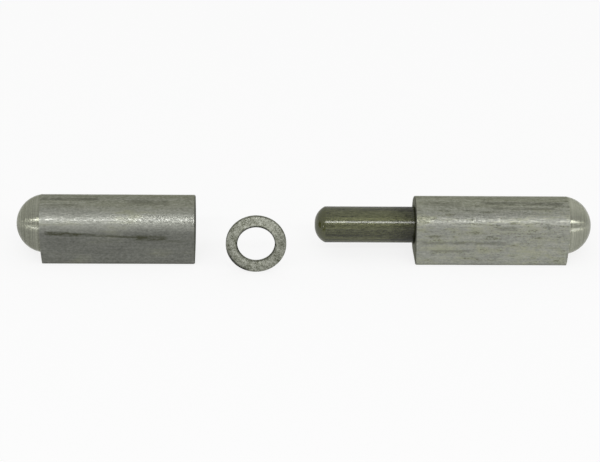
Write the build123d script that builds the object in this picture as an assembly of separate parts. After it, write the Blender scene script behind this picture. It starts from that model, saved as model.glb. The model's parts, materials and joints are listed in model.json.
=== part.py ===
from build123d import *
import math
import os

# Weld-on lift-off hinge, taken apart: two leaves of drop-shaped bar, a pin and a washer.
# Lengths are millimetres and angles degrees. X runs along the pin, Z is up.

# Drop-shaped bar that both leaves are cut from
BARREL_DIAMETER = 16.0
CORNER_ANGLE = 78.0
CORNER_ROUNDING = 0.8
LEAF_LENGTH = 49.25
EDGE_BREAK = 0.25

# Turned outer end of a leaf
DOME_OVERSIZE = 0.1
SHOULDER_TAPER = 9.0
SHOULDER_EDGE_ROUNDING = 0.6
SHOULDER_EDGE_ANGLE = 20.0

# Pin, seated in the male leaf and free for the female leaf
PIN_DIAMETER = 10.0
PIN_FREE_LENGTH = 27.5
PIN_SEAT_LENGTH = 24.4
PIN_TIP_FLAT_DIAMETER = 1.0
PIN_TIP_EDGE_ANGLE = 25.8
PIN_CHAMFER = 0.6

# Blind bores in the leaves
SEAT_CLEARANCE = 0.02
RUNNING_CLEARANCE = 0.05
BORE_END_ROOM = 1.0
BORE_MOUTH_CHAMFER = 0.5
DRILL_POINT_ANGLE = 118.0

# Washer that goes between the two bearing faces
WASHER_DIAMETER = 16.4
WASHER_HOLE = 10.2
WASHER_THICKNESS = 1.5
WASHER_EDGE_ROUNDING = 0.3

# How the loose items lie apart
LEAF_SPREAD = 60.5
WASHER_FROM_FEMALE_LEAF = 16.65
SWEEP_CLEARANCE = 0.3

# Sizes that follow from the ones above
barrel_radius = BARREL_DIAMETER / 2
half_corner = math.radians(CORNER_ANGLE / 2)
flat_length = barrel_radius / math.tan(half_corner)
weld_flat_width = (barrel_radius - CORNER_ROUNDING) / math.tan(half_corner)
corner_reach = (barrel_radius - CORNER_ROUNDING) / math.sin(half_corner) + CORNER_ROUNDING
dome_radius = barrel_radius + DOME_OVERSIZE
dome_height = dome_radius - math.sqrt(dome_radius**2 - barrel_radius**2)
shoulder_x = LEAF_LENGTH - dome_height
pin_radius = PIN_DIAMETER / 2
tip_flat_radius = PIN_TIP_FLAT_DIAMETER / 2
tip_rounding = (pin_radius - tip_flat_radius) / math.cos(math.radians(PIN_TIP_EDGE_ANGLE))
female_bore_depth = PIN_FREE_LENGTH - WASHER_THICKNESS + BORE_END_ROOM

# The origin is the middle of the male leaf's weld flat, which lies on the floor.
axis_y = weld_flat_width / 2
axis_z = barrel_radius
male_face_x = -shoulder_x / 2
female_face_x = male_face_x - LEAF_SPREAD
washer_x = female_face_x + WASHER_FROM_FEMALE_LEAF
washer_y = axis_y - corner_reach - SWEEP_CLEARANCE - WASHER_THICKNESS / 2


def turned(section):
    """Solid of revolution about X of a half section drawn above the X axis."""
    return revolve(make_face(section), Axis.X)


def drop_profile():
    """Bar section: a circle with two tangent flats, the lower one level, meeting at a rounded corner."""
    corner = (-flat_length, -barrel_radius)
    lower_tangent = (0, -barrel_radius)
    tangent_angle = math.radians(90 + CORNER_ANGLE)
    upper_tangent = (barrel_radius * math.cos(tangent_angle), barrel_radius * math.sin(tangent_angle))
    outline = [
        CenterArc((0, 0), barrel_radius, -90, 180 + CORNER_ANGLE),
        Line(upper_tangent, corner),
        Line(corner, lower_tangent),
    ]
    sharp = make_face(outline)
    return fillet(sharp.vertices().sort_by_distance(corner)[0], CORNER_ROUNDING)


def turned_end():
    """Envelope that the lathe leaves: a dome and a tapered shoulder with a rounded outer edge."""
    reach = flat_length + barrel_radius
    taper = math.radians(SHOULDER_TAPER)
    edge_angle = math.radians(SHOULDER_EDGE_ANGLE)
    rounding_start = corner_reach - SHOULDER_EDGE_ROUNDING * (math.cos(edge_angle) - math.sin(taper))
    setback = (rounding_start - barrel_radius) * math.tan(taper)
    dome_sweep = math.degrees(math.asin(barrel_radius / dome_radius))
    rounding_sweep = 90 - SHOULDER_TAPER - SHOULDER_EDGE_ANGLE / 2
    shoulder = Line((shoulder_x, barrel_radius), (shoulder_x - setback, rounding_start))
    rounding = JernArc(shoulder @ 1, shoulder % 1, SHOULDER_EDGE_ROUNDING, rounding_sweep)
    run_out = (reach - (rounding @ 1).Y) / math.tan(edge_angle / 2)
    clear_of_corner = ((rounding @ 1).X - run_out, reach)
    return turned(
        [
            CenterArc((LEAF_LENGTH - dome_radius, 0), dome_radius, 0, dome_sweep),
            shoulder,
            rounding,
            Polyline(rounding @ 1, clear_of_corner, (0, reach), (0, 0), (LEAF_LENGTH, 0)),
        ]
    )


def blind_bore(radius, depth):
    """Drilled hole from the bearing face, with a chamfered mouth and a drill-point bottom."""
    mouth_radius = radius + BORE_MOUTH_CHAMFER
    point_depth = radius / math.tan(math.radians(DRILL_POINT_ANGLE / 2))
    return turned(
        [
            Polyline(
                (0, 0),
                (0, mouth_radius),
                (BORE_MOUTH_CHAMFER, radius),
                (depth, radius),
                (depth + point_depth, 0),
                close=True,
            )
        ]
    )


def leaf(bore_radius, bore_depth):
    """Leaf about the pin axis: its bearing face at X = 0 and its dome towards +X."""
    bar = extrude(Plane.YZ * drop_profile(), LEAF_LENGTH)
    blank = bar & turned_end()
    face_edges = blank.faces().sort_by(Axis.X)[0].outer_wire().edges()
    return chamfer(face_edges, EDGE_BREAK) - blind_bore(bore_radius, bore_depth)


def pin():
    """Pin about its own axis: seated end towards +X, rounded tip towards -X, bearing face at X = 0."""
    rounding_centre = (tip_rounding - PIN_FREE_LENGTH, tip_flat_radius)
    rounding = CenterArc(rounding_centre, tip_rounding, 90 + PIN_TIP_EDGE_ANGLE, 90 - PIN_TIP_EDGE_ANGLE)
    return turned(
        [
            rounding,
            Polyline(
                rounding @ 1,
                (-PIN_FREE_LENGTH, 0),
                (PIN_SEAT_LENGTH, 0),
                (PIN_SEAT_LENGTH, pin_radius - PIN_CHAMFER),
                (PIN_SEAT_LENGTH - PIN_CHAMFER, pin_radius),
                rounding @ 0,
            ),
        ]
    )


def washer():
    """Flat ring with slightly rolled edges, centred on the origin, its hole along Z."""
    ring = Cylinder(WASHER_DIAMETER / 2, WASHER_THICKNESS) - Cylinder(WASHER_HOLE / 2, WASHER_THICKNESS)
    return fillet(ring.edges().filter_by(GeomType.CIRCLE), WASHER_EDGE_ROUNDING)


male_place = Pos(male_face_x, axis_y, axis_z)
female_place = Pos(female_face_x, axis_y, axis_z)
washer_place = Pos(washer_x, washer_y, WASHER_DIAMETER / 2) * Rot(90, 0, 0)

nodes = {
    "male_leaf": male_place * leaf(pin_radius + SEAT_CLEARANCE, PIN_SEAT_LENGTH),
    "hinge_pin": male_place * pin(),
    "female_leaf": female_place * mirror(leaf(pin_radius + RUNNING_CLEARANCE, female_bore_depth), Plane.YZ),
    "washer": washer_place * washer(),
}

os.makedirs("parts", exist_ok=True)
for name, solid in nodes.items():
    export_step(solid, f"parts/{name}.step")
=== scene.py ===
import bpy
import json
import math
from mathutils import Matrix, Vector
from typing import NamedTuple


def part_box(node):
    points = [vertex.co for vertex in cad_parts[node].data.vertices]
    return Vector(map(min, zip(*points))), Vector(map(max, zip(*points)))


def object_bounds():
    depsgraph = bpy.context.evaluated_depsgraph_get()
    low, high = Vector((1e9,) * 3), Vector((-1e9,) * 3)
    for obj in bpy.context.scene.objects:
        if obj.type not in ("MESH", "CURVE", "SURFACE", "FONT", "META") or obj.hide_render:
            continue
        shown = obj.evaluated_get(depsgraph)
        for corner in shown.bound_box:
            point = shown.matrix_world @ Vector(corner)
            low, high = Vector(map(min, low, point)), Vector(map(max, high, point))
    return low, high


bl_info = {
    "name": "Weld-on Hinge Finishes",
    "version": (1, 0, 0),
    "blender": (4, 5, 0),
    "location": "View3D > Sidebar > Hinge",
    "description": "Steel finishes, light and camera for a weld-on hinge that is shown taken apart",
    "category": "Material",
}

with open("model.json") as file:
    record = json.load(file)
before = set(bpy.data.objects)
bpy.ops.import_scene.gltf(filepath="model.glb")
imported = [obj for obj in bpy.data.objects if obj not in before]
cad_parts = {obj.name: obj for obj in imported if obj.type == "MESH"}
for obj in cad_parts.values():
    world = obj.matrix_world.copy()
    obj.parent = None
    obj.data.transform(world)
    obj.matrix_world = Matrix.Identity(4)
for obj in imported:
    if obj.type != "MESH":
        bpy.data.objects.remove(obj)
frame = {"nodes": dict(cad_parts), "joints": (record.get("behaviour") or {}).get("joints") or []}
cad_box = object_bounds()

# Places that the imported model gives, in metres
PIN_AXIS = Vector(frame["joints"][0]["pos_m"])
MALE_LOW, MALE_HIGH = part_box("male_leaf")
FEMALE_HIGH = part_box("female_leaf")[1]
PIN_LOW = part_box("hinge_pin")[0]
WASHER_LOW, WASHER_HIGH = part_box("washer")

# The same in millimetres, in which the finishes are written
MM = 1000.0
AXIS_Y, AXIS_Z = PIN_AXIS.y * MM, PIN_AXIS.z * MM
MALE_FACE_X = MALE_LOW.x * MM
FEMALE_FACE_X = FEMALE_HIGH.x * MM
LEAF_LENGTH = (MALE_HIGH.x - MALE_LOW.x) * MM
BAR_RADIUS = (MALE_HIGH.z - MALE_LOW.z) / 2 * MM
PIN_FREE_LENGTH = (MALE_LOW.x - PIN_LOW.x) * MM
WASHER_CENTRE = (WASHER_LOW + WASHER_HIGH) / 2 * MM
WASHER_RADIUS = (WASHER_HIGH.z - WASHER_LOW.z) / 2 * MM

WHITE = (1.0, 1.0, 1.0, 1.0)

# Noise comes between 0 and 1; taken from its middle and spread, most of it lies between -1 and 1
NOISE_MIDDLE = 0.5
NOISE_SPREAD = 4.0
RING_ROUGHNESS = 0.6

# Which output of a Mix node is the colour
MIXED_COLOUR = 2


class Grain(NamedTuple):
    """Noise in the steel, per millimetre: its share of the first coordinate (a small one draws it out), its start
    there, and its scale, detail and roughness."""

    share: float
    start: float
    scale: float
    detail: float
    roughness: float


class Rings(NamedTuple):
    """Lathe marks: how many to a millimetre, and their detail."""

    scale: float
    detail: float


class Number:
    """A number on a shader socket; arithmetic on it adds Math nodes to its material."""

    def __init__(self, finish, socket):
        self.finish = finish
        self.socket = socket

    def maths(self, operation, *values):
        sockets = dict(zip(("Value", "Value_001"), values))
        return self.finish.node("ShaderNodeMath", {"operation": operation}, sockets)

    def __add__(self, other):
        return self.maths("ADD", self, other)

    def __radd__(self, other):
        return self.maths("ADD", other, self)

    def __sub__(self, other):
        return self.maths("SUBTRACT", self, other)

    def __rsub__(self, other):
        return self.maths("SUBTRACT", other, self)

    def __mul__(self, other):
        return self.maths("MULTIPLY", self, other)

    def __rmul__(self, other):
        return self.maths("MULTIPLY", other, self)

    def __neg__(self):
        return self.maths("MULTIPLY", self, -1.0)

    def __abs__(self):
        return self.maths("ABSOLUTE", self)

    def root(self):
        return self.maths("SQRT", self)

    def angle_over(self, other):
        return self.maths("ARCTAN2", self, other)

    def at_least(self, other):
        return self.maths("MAXIMUM", self, other)

    def at_most(self, other):
        return self.maths("MINIMUM", self, other)


class Finish:
    """A material while it is made: node() adds any node, the other methods name the ones used often."""

    def __init__(self, name):
        self.material = bpy.data.materials.new(name)
        self.material.use_nodes = True
        self.tree = self.material.node_tree
        self.tree.nodes.clear()

    def node(self, kind, settings, sockets, output=0):
        """One node: its settings first, then the values or links of its sockets. Gives one of its outputs."""
        made = self.tree.nodes.new(kind)
        for name, value in settings.items():
            setattr(made, name, value)
        for name, value in sockets.items():
            target = next(s for s in made.inputs if name == s.identifier)
            if isinstance(value, Number):
                self.tree.links.new(value.socket, target)
            else:
                target.default_value = value
        return Number(self, made.outputs[output]) if len(made.outputs) else made

    def place(self):
        """The three object coordinates in millimetres."""
        metres = self.node("ShaderNodeTexCoord", {}, {}, "Object")
        vector = self.shade(metres, MM)
        return [self.node("ShaderNodeSeparateXYZ", {}, {"Vector": vector}, axis) for axis in "XYZ"]

    def spread_noise(self, dimensions, sockets):
        """Noise about zero."""
        noise = self.node("ShaderNodeTexNoise", {"noise_dimensions": dimensions}, sockets)
        return (noise - NOISE_MIDDLE) * NOISE_SPREAD

    def noise(self, grain, x, y, z, seed=0.0):
        """Noise about zero, drawn out along x where the grain says so."""
        way = x * grain.share + (grain.start + seed)
        sockets = {
            "Vector": self.node("ShaderNodeCombineXYZ", {}, {"X": way, "Y": y, "Z": z}),
            "Scale": grain.scale,
            "Detail": grain.detail,
            "Roughness": grain.roughness,
        }
        return self.spread_noise("3D", sockets)

    def rings(self, rings, way):
        """Noise about zero that changes along one way only, as lathe marks do."""
        sockets = {"W": way, "Scale": rings.scale, "Detail": rings.detail, "Roughness": RING_ROUGHNESS}
        return self.spread_noise("1D", sockets)

    def rise(self, value, low, high):
        """0 below low, 1 above high, and smooth between them."""
        sockets = {"Value": value, "From Min": low, "From Max": high, "To Min": 0.0, "To Max": 1.0}
        return self.node("ShaderNodeMapRange", {"interpolation_type": "SMOOTHSTEP"}, sockets)

    def stretch(self, value, low, high, soft):
        """1 between low and high, fading to 0 over soft on either side."""
        return self.rise(value, low - soft, low) * (1.0 - self.rise(value, high, high + soft))

    def blend(self, amount, first, second):
        """From the first colour at 0 to the second at 1."""
        sockets = {"Factor_Float": amount, "A_Color": first, "B_Color": second}
        settings = {"data_type": "RGBA", "clamp_factor": True}
        return self.node("ShaderNodeMix", settings, sockets, MIXED_COLOUR)

    def shade(self, colour, brightness):
        """A colour or vector multiplied by a number."""
        sockets = {"Vector": colour, "Scale": brightness}
        return self.node("ShaderNodeVectorMath", {"operation": "SCALE"}, sockets)

    def relief(self, height, depth):
        """Normal of a surface with this height, where 1 is depth in metres."""
        return self.node("ShaderNodeBump", {}, {"Strength": 1.0, "Distance": depth, "Height": height})

    def surface(self, sockets):
        """The metal shader and the material's output."""
        shader = self.node("ShaderNodeBsdfPrincipled", {}, sockets)
        self.node("ShaderNodeOutputMaterial", {}, {"Surface": shader})
        return self.material


def colour_of(value):
    """A picked colour with the alpha that a colour socket wants."""
    return (value[0], value[1], value[2], 1.0)


class HingeLeafFinish(bpy.types.PropertyGroup):
    drawn_colour: bpy.props.FloatVectorProperty(
        name="Drawn Bar",
        description="Bare steel of the drawn bar",
        subtype="COLOR",
        size=3,
        min=0.0,
        max=1.0,
        default=(0.266, 0.272, 0.240),
    )
    smudge_colour: bpy.props.FloatVectorProperty(
        name="Drawing Smudges",
        description="Dark soap and scale that the drawing leaves along the bar",
        subtype="COLOR",
        size=3,
        min=0.0,
        max=1.0,
        default=(0.048, 0.050, 0.032),
    )
    film_colour: bpy.props.FloatVectorProperty(
        name="Oil Film",
        description="Olive oil film on the upper side of the bar",
        subtype="COLOR",
        size=3,
        min=0.0,
        max=1.0,
        default=(0.262, 0.270, 0.150),
    )
    turned_colour: bpy.props.FloatVectorProperty(
        name="Turned End",
        description="Steel of the turned dome and shoulder",
        subtype="COLOR",
        size=3,
        min=0.0,
        max=1.0,
        default=(0.278, 0.285, 0.222),
    )
    # The bearing face's dark colour is painted shade together with the face's oil
    face_colour: bpy.props.FloatVectorProperty(
        name="Bearing Face",
        description="Oily steel of the bearing face and its broken edge",
        subtype="COLOR",
        size=3,
        min=0.0,
        max=1.0,
        default=(0.105, 0.107, 0.088),
    )
    # The bore's dark colour is painted shade in the recess
    bore_colour: bpy.props.FloatVectorProperty(
        name="Bore",
        description="Dark drilled wall of the blind bore",
        subtype="COLOR",
        size=3,
        min=0.0,
        max=1.0,
        default=(0.085, 0.087, 0.072),
    )
    drawn_roughness: bpy.props.FloatProperty(
        name="Drawn Roughness",
        description="Roughness of the drawn bar",
        subtype="FACTOR",
        min=0.0,
        max=1.0,
        default=0.45,
    )
    turned_roughness: bpy.props.FloatProperty(
        name="Turned Roughness",
        description="Roughness of the turned dome",
        subtype="FACTOR",
        min=0.0,
        max=1.0,
        default=0.16,
    )
    dome_height: bpy.props.FloatProperty(
        name="Dome Height",
        description="Height of the turned dome above the shoulder",
        unit="LENGTH",
        default=0.006831,
    )
    bore_radius: bpy.props.FloatProperty(
        name="Bore Mouth Radius",
        description="Radius of the chamfered mouth of the bore",
        unit="LENGTH",
        default=0.00555,
    )


class HingePinFinish(bpy.types.PropertyGroup):
    bright_colour: bpy.props.FloatVectorProperty(
        name="Bright Steel",
        description="Steel where the oil is thin",
        subtype="COLOR",
        size=3,
        min=0.0,
        max=1.0,
        default=(0.145, 0.153, 0.055),
    )
    oily_colour: bpy.props.FloatVectorProperty(
        name="Oily Steel",
        description="Steel under dark oil",
        subtype="COLOR",
        size=3,
        min=0.0,
        max=1.0,
        default=(0.024, 0.027, 0.000),
    )
    roughness: bpy.props.FloatProperty(
        name="Roughness",
        description="Roughness of the drawn pin",
        subtype="FACTOR",
        min=0.0,
        max=1.0,
        default=0.52,
    )
    tip_height: bpy.props.FloatProperty(
        name="Tip Height",
        description="Height of the turned tip of the pin",
        unit="LENGTH",
        default=0.002823,
    )


class HingeWasherFinish(bpy.types.PropertyGroup):
    pale_colour: bpy.props.FloatVectorProperty(
        name="Pale Steel",
        description="Tumbled steel of the washer's faces",
        subtype="COLOR",
        size=3,
        min=0.0,
        max=1.0,
        default=(0.393, 0.402, 0.347),
    )
    dull_colour: bpy.props.FloatVectorProperty(
        name="Dull Steel",
        description="Greenish dull patches of the washer's faces",
        subtype="COLOR",
        size=3,
        min=0.0,
        max=1.0,
        default=(0.092, 0.097, 0.064),
    )
    hole_radius: bpy.props.FloatProperty(
        name="Hole Radius",
        description="Radius of the washer's hole",
        unit="LENGTH",
        default=0.0051,
    )
    roughness: bpy.props.FloatProperty(
        name="Roughness",
        description="Roughness of the tumbled steel",
        subtype="FACTOR",
        min=0.0,
        max=1.0,
        default=0.50,
    )


class HingeStage(bpy.types.PropertyGroup):
    floor_size: bpy.props.FloatProperty(
        name="Floor Size",
        description="Side of the pale floor",
        unit="LENGTH",
        default=6.0,
    )
    floor_colour: bpy.props.FloatVectorProperty(
        name="Floor",
        description="Colour of the pale floor",
        subtype="COLOR",
        size=3,
        min=0.0,
        max=1.0,
        default=(0.95, 0.95, 0.95),
    )
    floor_whiteness: bpy.props.FloatProperty(
        name="Floor Whiteness",
        description="How far the floor is plain white to the eye instead of lit",
        subtype="FACTOR",
        min=0.0,
        max=1.0,
        default=0.80,
    )
    room_level: bpy.props.FloatProperty(
        name="Room Level",
        description="Level of the even light of the room",
        subtype="FACTOR",
        min=0.0,
        max=2.0,
        default=0.68,
    )
    strip_level: bpy.props.FloatProperty(
        name="Strip Level",
        description="Brightness of a strip light with a full share",
        min=0.0,
        max=50.0,
        default=9.0,
    )
    camera_place: bpy.props.FloatVectorProperty(
        name="Camera Place",
        description="Where the camera stands",
        subtype="TRANSLATION",
        unit="LENGTH",
        size=3,
        default=(-0.0707, -0.51204, 0.24351),
    )
    camera_turn: bpy.props.FloatVectorProperty(
        name="Camera Turn",
        description="Camera's turn to the right, tilt down and roll",
        subtype="EULER",
        size=3,
        default=(math.radians(1.99), math.radians(24.69), math.radians(1.066)),
    )
    camera_lens: bpy.props.FloatProperty(
        name="Lens",
        description="Focal length on a 36 mm wide sensor",
        unit="CAMERA",
        default=123.02,
    )


class Smudge(NamedTuple):
    """A dark drawing smudge: its start and end along the leaf in millimetres, its height there about the pin axis
    and its half width in degrees, and its strength."""

    start: float
    end: float
    start_height: float
    end_height: float
    half_width: float
    strength: float


class LeafLook(NamedTuple):
    """What sets one leaf apart: where its bearing face is, which way its dome points, its own tones and marks, and
    how far its front flat is darkened by painted shade and its top lightened by painted light.
    """

    face_x: float
    dome_way: float
    seed: float
    drawn_tone: float
    flat_tone_and_shade: float
    top_tone_and_light: float
    turned_tone: float
    turned_gloss: float
    drawn_gloss: float
    oil: float
    mottle: float
    specks: float
    smudges: tuple


FEMALE_LOOK = LeafLook(
    face_x=FEMALE_FACE_X,
    dome_way=-1.0,
    seed=40.0,
    drawn_tone=1.0,
    flat_tone_and_shade=-0.51,
    top_tone_and_light=0.16,
    turned_tone=0.93,
    turned_gloss=0.28,
    drawn_gloss=0.95,
    oil=0.0,
    mottle=1.5,
    specks=0.15,
    smudges=(
        Smudge(8.5, 15.5, -4.5, -3.5, 4.0, 0.95),
        Smudge(14.0, 31.0, -3.5, 1.5, 2.6, 0.75),
        Smudge(30.0, 40.0, 1.5, 4.5, 3.6, 0.95),
        Smudge(4.5, 8.5, -10.0, -10.0, 2.5, 0.4),
        Smudge(8.0, 18.0, 70.0, 70.0, 9.0, 0.5),
        Smudge(27.0, 42.0, 80.0, 80.0, 5.0, 0.6),
        Smudge(32.0, 42.0, 63.0, 63.0, 3.5, 0.3),
    ),
)
MALE_LOOK = LeafLook(
    face_x=MALE_FACE_X,
    dome_way=1.0,
    seed=3.0,
    drawn_tone=0.99,
    flat_tone_and_shade=-0.04,
    top_tone_and_light=0.55,
    turned_tone=1.02,
    turned_gloss=0.38,
    drawn_gloss=0.32,
    oil=0.42,
    mottle=1.5,
    specks=0.55,
    smudges=(
        Smudge(19.0, 40.0, 72.0, 71.0, 5.5, 0.65),
        Smudge(20.0, 38.0, 60.0, 58.0, 3.5, 0.45),
        Smudge(3.0, 12.0, 70.0, 68.0, 8.0, 0.4),
        Smudge(2.0, 24.0, -11.0, -11.0, 3.0, 0.4),
        Smudge(5.0, 14.0, -23.0, -23.0, 2.0, 0.35),
        Smudge(23.0, 27.0, 16.0, 16.0, 4.0, 0.4),
    ),
)

# Zones of a leaf: where one finish gives way to the next, in millimetres from the shoulder, the bearing face and the
# bore's wall, and in degrees about the pin axis (start, end and fade)
SHOULDER_SLOPE = math.tan(math.radians(9.0))
SHOULDER_LINE = (-0.08, 0.02)
FACE_EDGE = (0.04, 0.32)
BORE_WALL = (-0.05, 0.0)
FRONT_FLAT = (-55.0, 0.0, 24.0)
UPPER_SIDE = (75.0, 130.0, 40.0)

# What the drawing leaves on a leaf, and what the lathe leaves on its end
LEAF_LINES = Grain(0.03, 0.0, 2.6, 3.0, 0.6)
LEAF_BANDS = Grain(0.05, 7.0, 0.50, 3.0, 0.5)
LEAF_PATCHES = Grain(0.30, 19.0, 0.30, 3.0, 0.55)
LEAF_SKIN = Grain(0.7, 0.0, 2.0, 1.0, 0.5)
LEAF_SPOTS = Grain(0.55, 13.0, 2.3, 2.0, 0.6)
LEAF_BREAKS = Grain(0.22, 3.0, 1.3, 3.0, 0.6)
LEAF_PITS = Grain(0.55, 0.0, 3.0, 1.0, 0.5)
LATHE_MARKS = Rings(3.0, 2.0)
LATHE_BROAD_MARKS = Rings(0.8, 2.0)
LATHE_GROOVES = Rings(8.0, 0.0)
SMUDGE_RAGGEDNESS = 2.5
SMUDGE_FADE = 1.5

# Zones and grain of the pin, in millimetres: its tip and its root at the leaf, and its lower side about the axis; the
# root is darkened by oil and painted shade, the lower side by painted shade
TIP_EDGE = (-0.05, 0.05)
PIN_ROOT = (0.5, 9.0)
PIN_LOWER_SIDE = (-0.5, 2.4)
PIN_LINES = Grain(0.14, 0.0, 4.6, 3.0, 0.65)
PIN_BANDS = Grain(0.03, 11.0, 1.2, 2.0, 0.5)
PIN_PATCHES = Grain(0.35, 5.0, 0.35, 2.0, 0.5)
PIN_GRAIN = Grain(1.0, 0.0, 4.0, 2.0, 0.6)
PIN_MARKS = Rings(4.0, 2.0)

# Zones and grain of the washer, in millimetres: outwards from the hole, out to the rim, and about its centre; they
# also place painted light on the upper half and painted shade along the hole and on the lower-left rim
HOLE_EDGE = (0.15, 0.50)
UPPER_HOLE_SHADE = (0.35, 0.85)
OUTER_EDGE = (-0.35, -0.05)
RIM_SHADOW = (-0.85, -0.4)
LOWER_LEFT = (6.0, 7.5)
UPPER_HALF = (1.0, 7.0)
HOLE_SHADE = (-5.0, -1.0)
FACE_FADE = (5.8, 7.4)
WASHER_MOTTLE = Grain(1.0, 0.0, 0.70, 4.0, 0.62)
WASHER_DENTS = Grain(1.0, 31.0, 1.1, 3.0, 0.55)
WASHER_GRAIN = Grain(1.0, 0.0, 3.0, 2.0, 0.6)

# Depth of the marks, in metres
DRAWN_DEPTH = 0.00002
DENT_DEPTH = 0.00008


def smudged(steel, look, along, turn, ragged, smudge):
    """The smudges of a leaf, laid over those that are already there, with ragged edges."""
    for mark in look.smudges:
        slope = (mark.end_height - mark.start_height) / (mark.end - mark.start)
        middle = along * slope + (mark.start_height - mark.start * slope)
        away = abs(turn - middle) + ragged * mark.half_width
        across = 1.0 - steel.rise(away, mark.half_width * 0.4, mark.half_width * 1.4)
        lengthwise = steel.stretch(along + ragged * SMUDGE_RAGGEDNESS, mark.start, mark.end, SMUDGE_FADE)
        smudge = smudge.at_least(across * lengthwise * mark.strength)
    return smudge


# In the finishes below, the plain factors are each mark's share in a tone, a gloss or a height
def drawn_leaf_steel(name, choice, look):
    """Drawn bar with a turned end; distances along it run from the bearing face to the dome, in millimetres."""
    steel = Finish(name)
    x, y, z = steel.place()
    along = (x - look.face_x) * look.dome_way
    side = y - AXIS_Y
    height = z - AXIS_Z
    radius = (side * side + height * height).root()
    turn = height.angle_over(-side) * math.degrees(1.0)

    # Zones of the leaf
    shoulder = LEAF_LENGTH - choice.dome_height * MM
    turned = steel.rise(along + (radius - BAR_RADIUS) * SHOULDER_SLOPE - shoulder, *SHOULDER_LINE)
    face = 1.0 - steel.rise(along, *FACE_EDGE)
    cut = turned.at_least(face)
    bore = (1.0 - steel.rise(radius - choice.bore_radius * MM, *BORE_WALL)) * (1.0 - turned)
    front = steel.stretch(turn, *FRONT_FLAT)
    top = steel.stretch(turn, *UPPER_SIDE)

    # What the drawing leaves: lines and smudges along the bar, a wavy skin, burnished high spots and fine pits
    lines, bands, patches, skin, spots, breaks = (
        steel.noise(grain, along, side, height, look.seed)
        for grain in (LEAF_LINES, LEAF_BANDS, LEAF_PATCHES, LEAF_SKIN, LEAF_SPOTS, LEAF_BREAKS)
    )
    pits = steel.noise(LEAF_PITS, along, side, height)
    burnish = steel.rise(spots, 0.0, 0.70) * (1.0 - front * 0.6)
    cover = 0.20 + 0.90 * steel.rise(lines * 0.5 + breaks * 0.8 + pits * 0.4, -0.9, 0.4)
    ragged = lines * 0.35 + breaks * 0.30 + patches * 0.25 + spots * 0.15
    stains = steel.rise(bands * 0.6 + patches * 0.4, 0.25, 1.3) * 0.5
    specks = steel.rise(pits * 0.6 + breaks * 0.8 + bands * 0.4, 0.1, 0.9)
    smudge = smudged(steel, look, along, turn, ragged, stains)
    smudge = (smudge * cover).at_least(specks * look.specks)
    top_film = top * (0.6 + bands * 0.3)
    film = top_film.at_least(steel.rise(patches + bands * 0.4, 0.1, 1.2) * (0.8 - front * 0.5))
    oil = steel.rise(patches * 0.7 + breaks * 0.6 + spots * 0.4, -0.4, 0.8) * look.oil

    grain = (spots * 0.12 + pits * 0.09 + lines * 0.08) * (look.mottle + top * 1.5) + patches * 0.10
    # Tone of the drawn bar: the front flat darker and the top lighter, partly each leaf's own colour and partly
    # painted shade and light
    tone = look.drawn_tone + front * look.flat_tone_and_shade + top * look.top_tone_and_light
    drawn = steel.shade(choice.drawn_colour, tone * (1.0 + grain))
    drawn = steel.blend((film * 0.6).at_least(oil), drawn, colour_of(choice.film_colour))
    drawn = steel.blend(smudge, drawn, colour_of(choice.smudge_colour))

    # What the lathe and the drill leave. The dome is darker on its front and lower side and lighter on top as painted
    # shade and light; the bearing face is painted dark as shade together with its oil, and the bore is painted dark
    # as shade in the recess
    marks, broad_marks, grooves = (
        steel.rings(rings, radius - along) for rings in (LATHE_MARKS, LATHE_BROAD_MARKS, LATHE_GROOVES)
    )
    broken = steel.rise(broad_marks * 0.6 + marks * 0.6, -0.6, 0.6)
    lathe_tone_and_shading = look.turned_tone + marks * 0.09 + broad_marks * 0.10 + pits * 0.12 + spots * 0.10
    lathe_tone_and_shading = lathe_tone_and_shading + front * (look.flat_tone_and_shade * 0.4 - 0.10) + top * look.top_tone_and_light
    colour = steel.blend(turned, drawn, steel.shade(choice.turned_colour, lathe_tone_and_shading))
    faced = steel.shade(choice.face_colour, 1.0 + marks * 0.15 + pits * 0.1)
    colour = steel.blend(face, colour, faced)
    colour = steel.blend(bore, colour, steel.shade(choice.bore_colour, 1.0 + marks * 0.2))

    drawn_roughness = choice.drawn_roughness - burnish * 0.12 + pits * 0.03 + smudge * 0.10
    turned_roughness = choice.turned_roughness + marks * 0.04 + spots * 0.02
    drawn_gloss = (burnish * 0.5 + 0.15 - front * 0.09) * look.drawn_gloss
    turned_gloss = look.turned_gloss + broken * 0.28
    drawn_height = skin * 0.45 + pits * 0.20 + lines * 0.15
    cut_height = grooves * 0.6 + marks * 0.2 + pits * 0.10
    return steel.surface(
        {
            "Base Color": colour,
            "Metallic": 1.0 - smudge * 0.4,
            "Specular Tint": (0.50, 0.51, 0.44, 1.0),
            "Roughness": drawn_roughness * (1.0 - turned) + turned_roughness * turned + bore * 0.1,
            "Coat Weight": drawn_gloss * (1.0 - cut) * (1.0 - smudge) + turned_gloss * turned,
            "Coat IOR": 1.8,
            "Coat Roughness": 0.15,
            "Normal": steel.relief(drawn_height * (1.0 - cut) + cut_height * cut, DRAWN_DEPTH),
        }
    )


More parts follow.
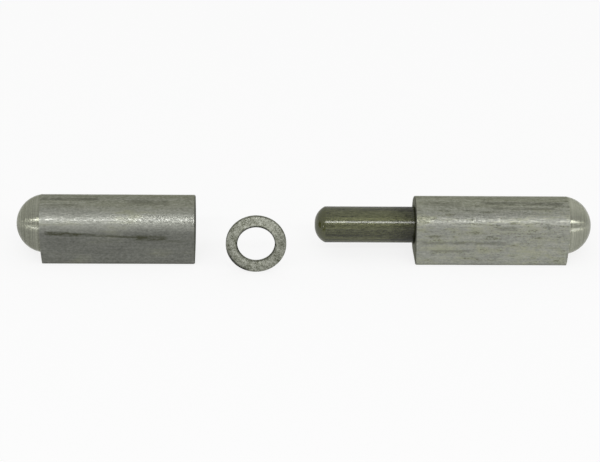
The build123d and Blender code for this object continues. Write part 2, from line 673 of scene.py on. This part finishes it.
def oily_pin_steel(name, choice):
    """Drawn pin under dark oil, with a turned tip, darkened by painted shade on its lower side and near its root at
    the leaf; distances run from the male leaf's face to the tip.
    """
    steel = Finish(name)
    x, y, z = steel.place()
    along = MALE_FACE_X - x
    side = y - AXIS_Y
    height = z - AXIS_Z
    radius = (side * side + height * height).root()
    tip = steel.rise(along - (PIN_FREE_LENGTH - choice.tip_height * MM), *TIP_EDGE)
    drawn = 1.0 - tip
    # Painted shade: the pin is darker near its root at the leaf, where oil also gathers, and on its lower side
    root = 1.0 - steel.rise(along, *PIN_ROOT)
    below = (1.0 - steel.rise(height, *PIN_LOWER_SIDE)) * (1.0 - tip * 0.7)

    lines, bands, patches = (
        steel.noise(grain, along, side, height) for grain in (PIN_LINES, PIN_BANDS, PIN_PATCHES)
    )
    grain = steel.noise(PIN_GRAIN, x, y, z)
    marks = steel.rings(PIN_MARKS, radius - along)
    # The oil rises on the lower side and at the root, which paints shade there
    drawn_oil_and_shade = 0.60 + lines * 0.48 + bands * (0.26 + below * 0.30) + patches * 0.14 + root * 0.35 + grain * 0.32
    tip_oil = 0.50 + marks * 0.10 + patches * 0.08
    oil = (drawn_oil_and_shade * drawn + tip_oil * tip + below * 0.10).at_least(0.0).at_most(1.0)
    colour = steel.blend(oil, colour_of(choice.bright_colour), colour_of(choice.oily_colour))
    gloss = 0.74 - tip * 0.15 - root * 0.22 - (lines + grain) * drawn * 0.22
    return steel.surface(
        {
            # Painted shade: darker on the lower side and at the root
            "Base Color": steel.shade(colour, 1.0 - below * 0.28 - root * 0.20),
            "Metallic": 1.0,
            "Specular Tint": (0.30, 0.31, 0.22, 1.0),
            "Roughness": choice.roughness + grain * 0.03 + lines * 0.03 + tip * 0.16,
            "Coat Weight": gloss * (1.0 - below * 0.3),
            "Coat IOR": 1.9,
            "Coat Roughness": 0.18,
            "Normal": steel.relief((lines * 0.30 + grain * 0.18) * drawn + marks * 0.10 * tip, DRAWN_DEPTH),
        }
    )


def tumbled_washer_steel(name, choice):
    """Stamped and tumbled ring: mottled faces with soft dents, darker towards the rim, lighter on the upper half as
    painted light, and darkened along the hole and on the lower-left rim as painted shade.
    """
    steel = Finish(name)
    x, y, z = steel.place()
    across = x - WASHER_CENTRE.x
    height = z - WASHER_CENTRE.z
    radius = (across * across + height * height).root()
    from_hole = radius - choice.hole_radius * MM
    from_rim = radius - WASHER_RADIUS
    # Painted light: the upper half of the faces is made lighter
    above = steel.rise(height, *UPPER_HALF)

    mottle, dents, grain = (steel.noise(kind, x, y, z) for kind in (WASHER_MOTTLE, WASHER_DENTS, WASHER_GRAIN))
    dull = (0.44 + mottle * 0.46 + dents * 0.28 + grain * 0.65).at_least(0.0).at_most(1.0)
    colour = steel.blend(dull, colour_of(choice.pale_colour), colour_of(choice.dull_colour))
    rubbed = steel.rise(grain + dents * 0.5, 0.2, 1.0)

    # Painted shade along the hole: dark on its edge except low down where the wall faces up, and a dark band along
    # its upper inner edge; the outer edge is a little darker
    hole_edge = 1.0 - steel.rise(from_hole, *HOLE_EDGE)
    hole_shade = hole_edge * (0.10 + 0.55 * steel.rise(height, *HOLE_SHADE))
    upper_hole_shade = (1.0 - steel.rise(from_hole, *UPPER_HOLE_SHADE)) * above
    outer_edge = steel.rise(from_rim + dents * 0.08, *OUTER_EDGE)
    # Painted shadow: a dark band on the rim at the lower left
    lower_left_rim_shadow = steel.rise(from_rim, *RIM_SHADOW) * steel.rise(across * -0.7 - height * 0.7, *LOWER_LEFT)
    edge_oil_and_shade = (hole_shade + upper_hole_shade * 0.75 + outer_edge * 0.10 + lower_left_rim_shadow * 0.65).at_most(0.85)
    face_tone_and_light = 1.03 - steel.rise(radius, *FACE_FADE) * 0.18 + above * 0.34 * (1.0 - upper_hole_shade)
    return steel.surface(
        {
            "Base Color": steel.shade(colour, face_tone_and_light - edge_oil_and_shade),
            "Metallic": 1.0,
            "Specular Tint": (0.35, 0.36, 0.30, 1.0),
            "Roughness": choice.roughness + mottle * 0.05 - rubbed * 0.15,
            "Normal": steel.relief(dents * 0.8 + grain * 0.35, DENT_DEPTH),
        }
    )


def give_finish(node_name, material):
    """Puts a material in a node's slot; the node's shape and place stay as packed."""
    if node_name not in frame["nodes"]:
        raise RuntimeError(f"the packed model has no {node_name}")
    node = frame["nodes"][node_name]
    if not node.material_slots:
        raise RuntimeError(f"{node_name} has no material slot")
    for slot in node.material_slots:
        slot.material = material


class HINGE_OT_finish_leaves(bpy.types.Operator):
    """Give both leaves drawn steel with turned ends, faced bearing ends and dark bores, with painted shade on the
    fronts, faces and bores and painted light on the tops
    """

    bl_idname = "hinge.finish_leaves"
    bl_label = "Finish Leaves"
    bl_options = {"REGISTER", "UNDO"}

    def execute(self, context):
        choice = context.scene.hinge_leaf
        give_finish("female_leaf", drawn_leaf_steel("female_drawn_steel", choice, FEMALE_LOOK))
        give_finish("male_leaf", drawn_leaf_steel("male_drawn_steel", choice, MALE_LOOK))
        return {"FINISHED"}


class HINGE_OT_finish_pin(bpy.types.Operator):
    """Give the pin dark oiled steel with fine lengthwise lines and a turned tip, with painted shade on its lower side
    and at its root
    """

    bl_idname = "hinge.finish_pin"
    bl_label = "Finish Pin"
    bl_options = {"REGISTER", "UNDO"}

    def execute(self, context):
        give_finish("hinge_pin", oily_pin_steel("oily_pin_steel", context.scene.hinge_pin))
        return {"FINISHED"}


class HINGE_OT_finish_washer(bpy.types.Operator):
    """Give the washer stamped and tumbled steel, with painted light on its upper half and painted shade along its
    hole and lower-left rim
    """

    bl_idname = "hinge.finish_washer"
    bl_label = "Finish Washer"
    bl_options = {"REGISTER", "UNDO"}

    def execute(self, context):
        give_finish("washer", tumbled_washer_steel("tumbled_washer_steel", context.scene.hinge_washer))
        return {"FINISHED"}


class Strip(NamedTuple):
    """A level strip light: its bearing to the right of straight ahead and its elevation in degrees, its distance,
    length and width in metres, and its share of the strip level."""

    name: str
    bearing: float
    elevation: float
    distance: float
    length: float
    width: float
    share: float


STRIPS = (
    Strip("strip_above", 0.0, 39.0, 1.40, 1.1, 0.130, 0.6),
    Strip("long_strip_above", 0.0, 39.0, 1.42, 5.0, 0.130, 0.5),
    Strip("strip_left", -40.0, 1.5, 1.40, 1.5, 0.045, 1.0),
    Strip("strip_right", 40.0, 1.5, 1.40, 1.5, 0.045, 1.0),
)
SENSOR_WIDTH = 36.0
CLIP_START = 0.01
CLIP_END = 20.0


def pale_floor_finish(choice):
    """Matt pale floor that is partly plain white to the eye and in the steel, so that shadows on it stay light."""
    floor = Finish("pale_floor")
    sockets = {"Base Color": colour_of(choice.floor_colour), "Roughness": 0.9, "Specular IOR Level": 0.0}
    matt = floor.node("ShaderNodeBsdfPrincipled", {}, sockets)
    white = floor.node("ShaderNodeEmission", {}, {"Color": WHITE, "Strength": 1.0})
    camera, glossy, through = (
        floor.node("ShaderNodeLightPath", {}, {}, f"Is {ray} Ray") for ray in ("Camera", "Glossy", "Transmission")
    )
    seen = (camera + glossy + through) * choice.floor_whiteness
    mixed = floor.node("ShaderNodeMixShader", {}, {"Fac": seen, "Shader": matt, "Shader_001": white})
    floor.node("ShaderNodeOutputMaterial", {}, {"Surface": mixed})
    return floor.material


def add_strip(strip, level, target):
    """Hangs a strip light that faces the target; level is the brightness of a full share."""
    side = math.radians(strip.bearing)
    rise = math.radians(strip.elevation)
    toward = Vector((math.sin(side) * math.cos(rise), -math.cos(side) * math.cos(rise), math.sin(rise)))
    turn = (-toward).to_track_quat("-Z", "X").to_euler()
    bpy.ops.object.light_add(type="AREA", location=target + toward * strip.distance, rotation=turn)
    lamp = bpy.context.object
    lamp.name = strip.name
    lamp.data.shape = "RECTANGLE"
    lamp.data.size = strip.width
    lamp.data.size_y = strip.length
    lamp.data.energy = level * strip.share * math.pi * strip.width * strip.length
    lamp.visible_camera = False


def even_room(choice):
    """A room that is white and evenly lit all round."""
    world = bpy.data.worlds.new("even_room")
    world.use_nodes = True
    room = world.node_tree.nodes["Background"]
    room.inputs["Color"].default_value = WHITE
    room.inputs["Strength"].default_value = choice.room_level
    return world


def photo_camera(choice):
    """The camera at the photograph's viewing angle."""
    bpy.ops.object.camera_add(location=choice.camera_place)
    camera = bpy.context.object
    camera.name = "photo_camera"
    turn, tilt, roll = choice.camera_turn
    ahead = Vector((math.sin(turn) * math.cos(tilt), math.cos(turn) * math.cos(tilt), -math.sin(tilt)))
    level = Vector((math.cos(turn), -math.sin(turn), 0.0))
    upright = level.cross(ahead)
    right = level * math.cos(roll) + upright * math.sin(roll)
    up = upright * math.cos(roll) - level * math.sin(roll)
    pose = Matrix((right, up, -ahead)).transposed().to_4x4()
    pose.translation = Vector(choice.camera_place)
    camera.matrix_world = pose
    camera.data.sensor_width = SENSOR_WIDTH
    camera.data.lens = choice.camera_lens
    camera.data.clip_start = CLIP_START
    camera.data.clip_end = CLIP_END
    return camera


class HINGE_OT_build_stage(bpy.types.Operator):
    """Lay the pale floor, set the soft light and put up the camera"""

    bl_idname = "hinge.build_stage"
    bl_label = "Build Stage"
    bl_options = {"REGISTER", "UNDO"}

    def execute(self, context):
        scene = context.scene
        choice = scene.hinge_stage
        bpy.ops.object.select_all(action="DESELECT")

        bpy.ops.mesh.primitive_plane_add(size=choice.floor_size, location=(0.0, 0.0, 0.0))
        floor = context.object
        floor.name = "floor"
        floor.data.materials.append(pale_floor_finish(choice))

        scene.world = even_room(choice)
        middle = (cad_box[0] + cad_box[1]) / 2
        for strip in STRIPS:
            add_strip(strip, choice.strip_level, middle)

        scene.camera = photo_camera(choice)
        scene.view_settings.view_transform = "Standard"
        return {"FINISHED"}


class HINGE_PT_finishes(bpy.types.Panel):
    """Finishes and stage of the hinge"""

    bl_idname = "HINGE_PT_finishes"
    bl_label = "Weld-on Hinge"
    bl_space_type = "VIEW_3D"
    bl_region_type = "UI"
    bl_category = "Hinge"

    def draw(self, context):
        scene = context.scene
        for operator, group in (
            (HINGE_OT_finish_leaves, scene.hinge_leaf),
            (HINGE_OT_finish_pin, scene.hinge_pin),
            (HINGE_OT_finish_washer, scene.hinge_washer),
            (HINGE_OT_build_stage, scene.hinge_stage),
        ):
            box = self.layout.box()
            for name in group.__annotations__:
                box.prop(group, name)
            box.operator(operator.bl_idname)


CLASSES = (
    HingeLeafFinish,
    HingePinFinish,
    HingeWasherFinish,
    HingeStage,
    HINGE_OT_finish_leaves,
    HINGE_OT_finish_pin,
    HINGE_OT_finish_washer,
    HINGE_OT_build_stage,
    HINGE_PT_finishes,
)


def register():
    for cls in CLASSES:
        bpy.utils.register_class(cls)
    bpy.types.Scene.hinge_leaf = bpy.props.PointerProperty(type=HingeLeafFinish)
    bpy.types.Scene.hinge_pin = bpy.props.PointerProperty(type=HingePinFinish)
    bpy.types.Scene.hinge_washer = bpy.props.PointerProperty(type=HingeWasherFinish)
    bpy.types.Scene.hinge_stage = bpy.props.PointerProperty(type=HingeStage)


def unregister():
    del bpy.types.Scene.hinge_stage
    del bpy.types.Scene.hinge_washer
    del bpy.types.Scene.hinge_pin
    del bpy.types.Scene.hinge_leaf
    for cls in reversed(CLASSES):
        bpy.utils.unregister_class(cls)


def main():
    register()
    bpy.ops.hinge.finish_leaves()
    bpy.ops.hinge.finish_pin()
    bpy.ops.hinge.finish_washer()
    bpy.ops.hinge.build_stage()


if __name__ == "__main__":
    main()
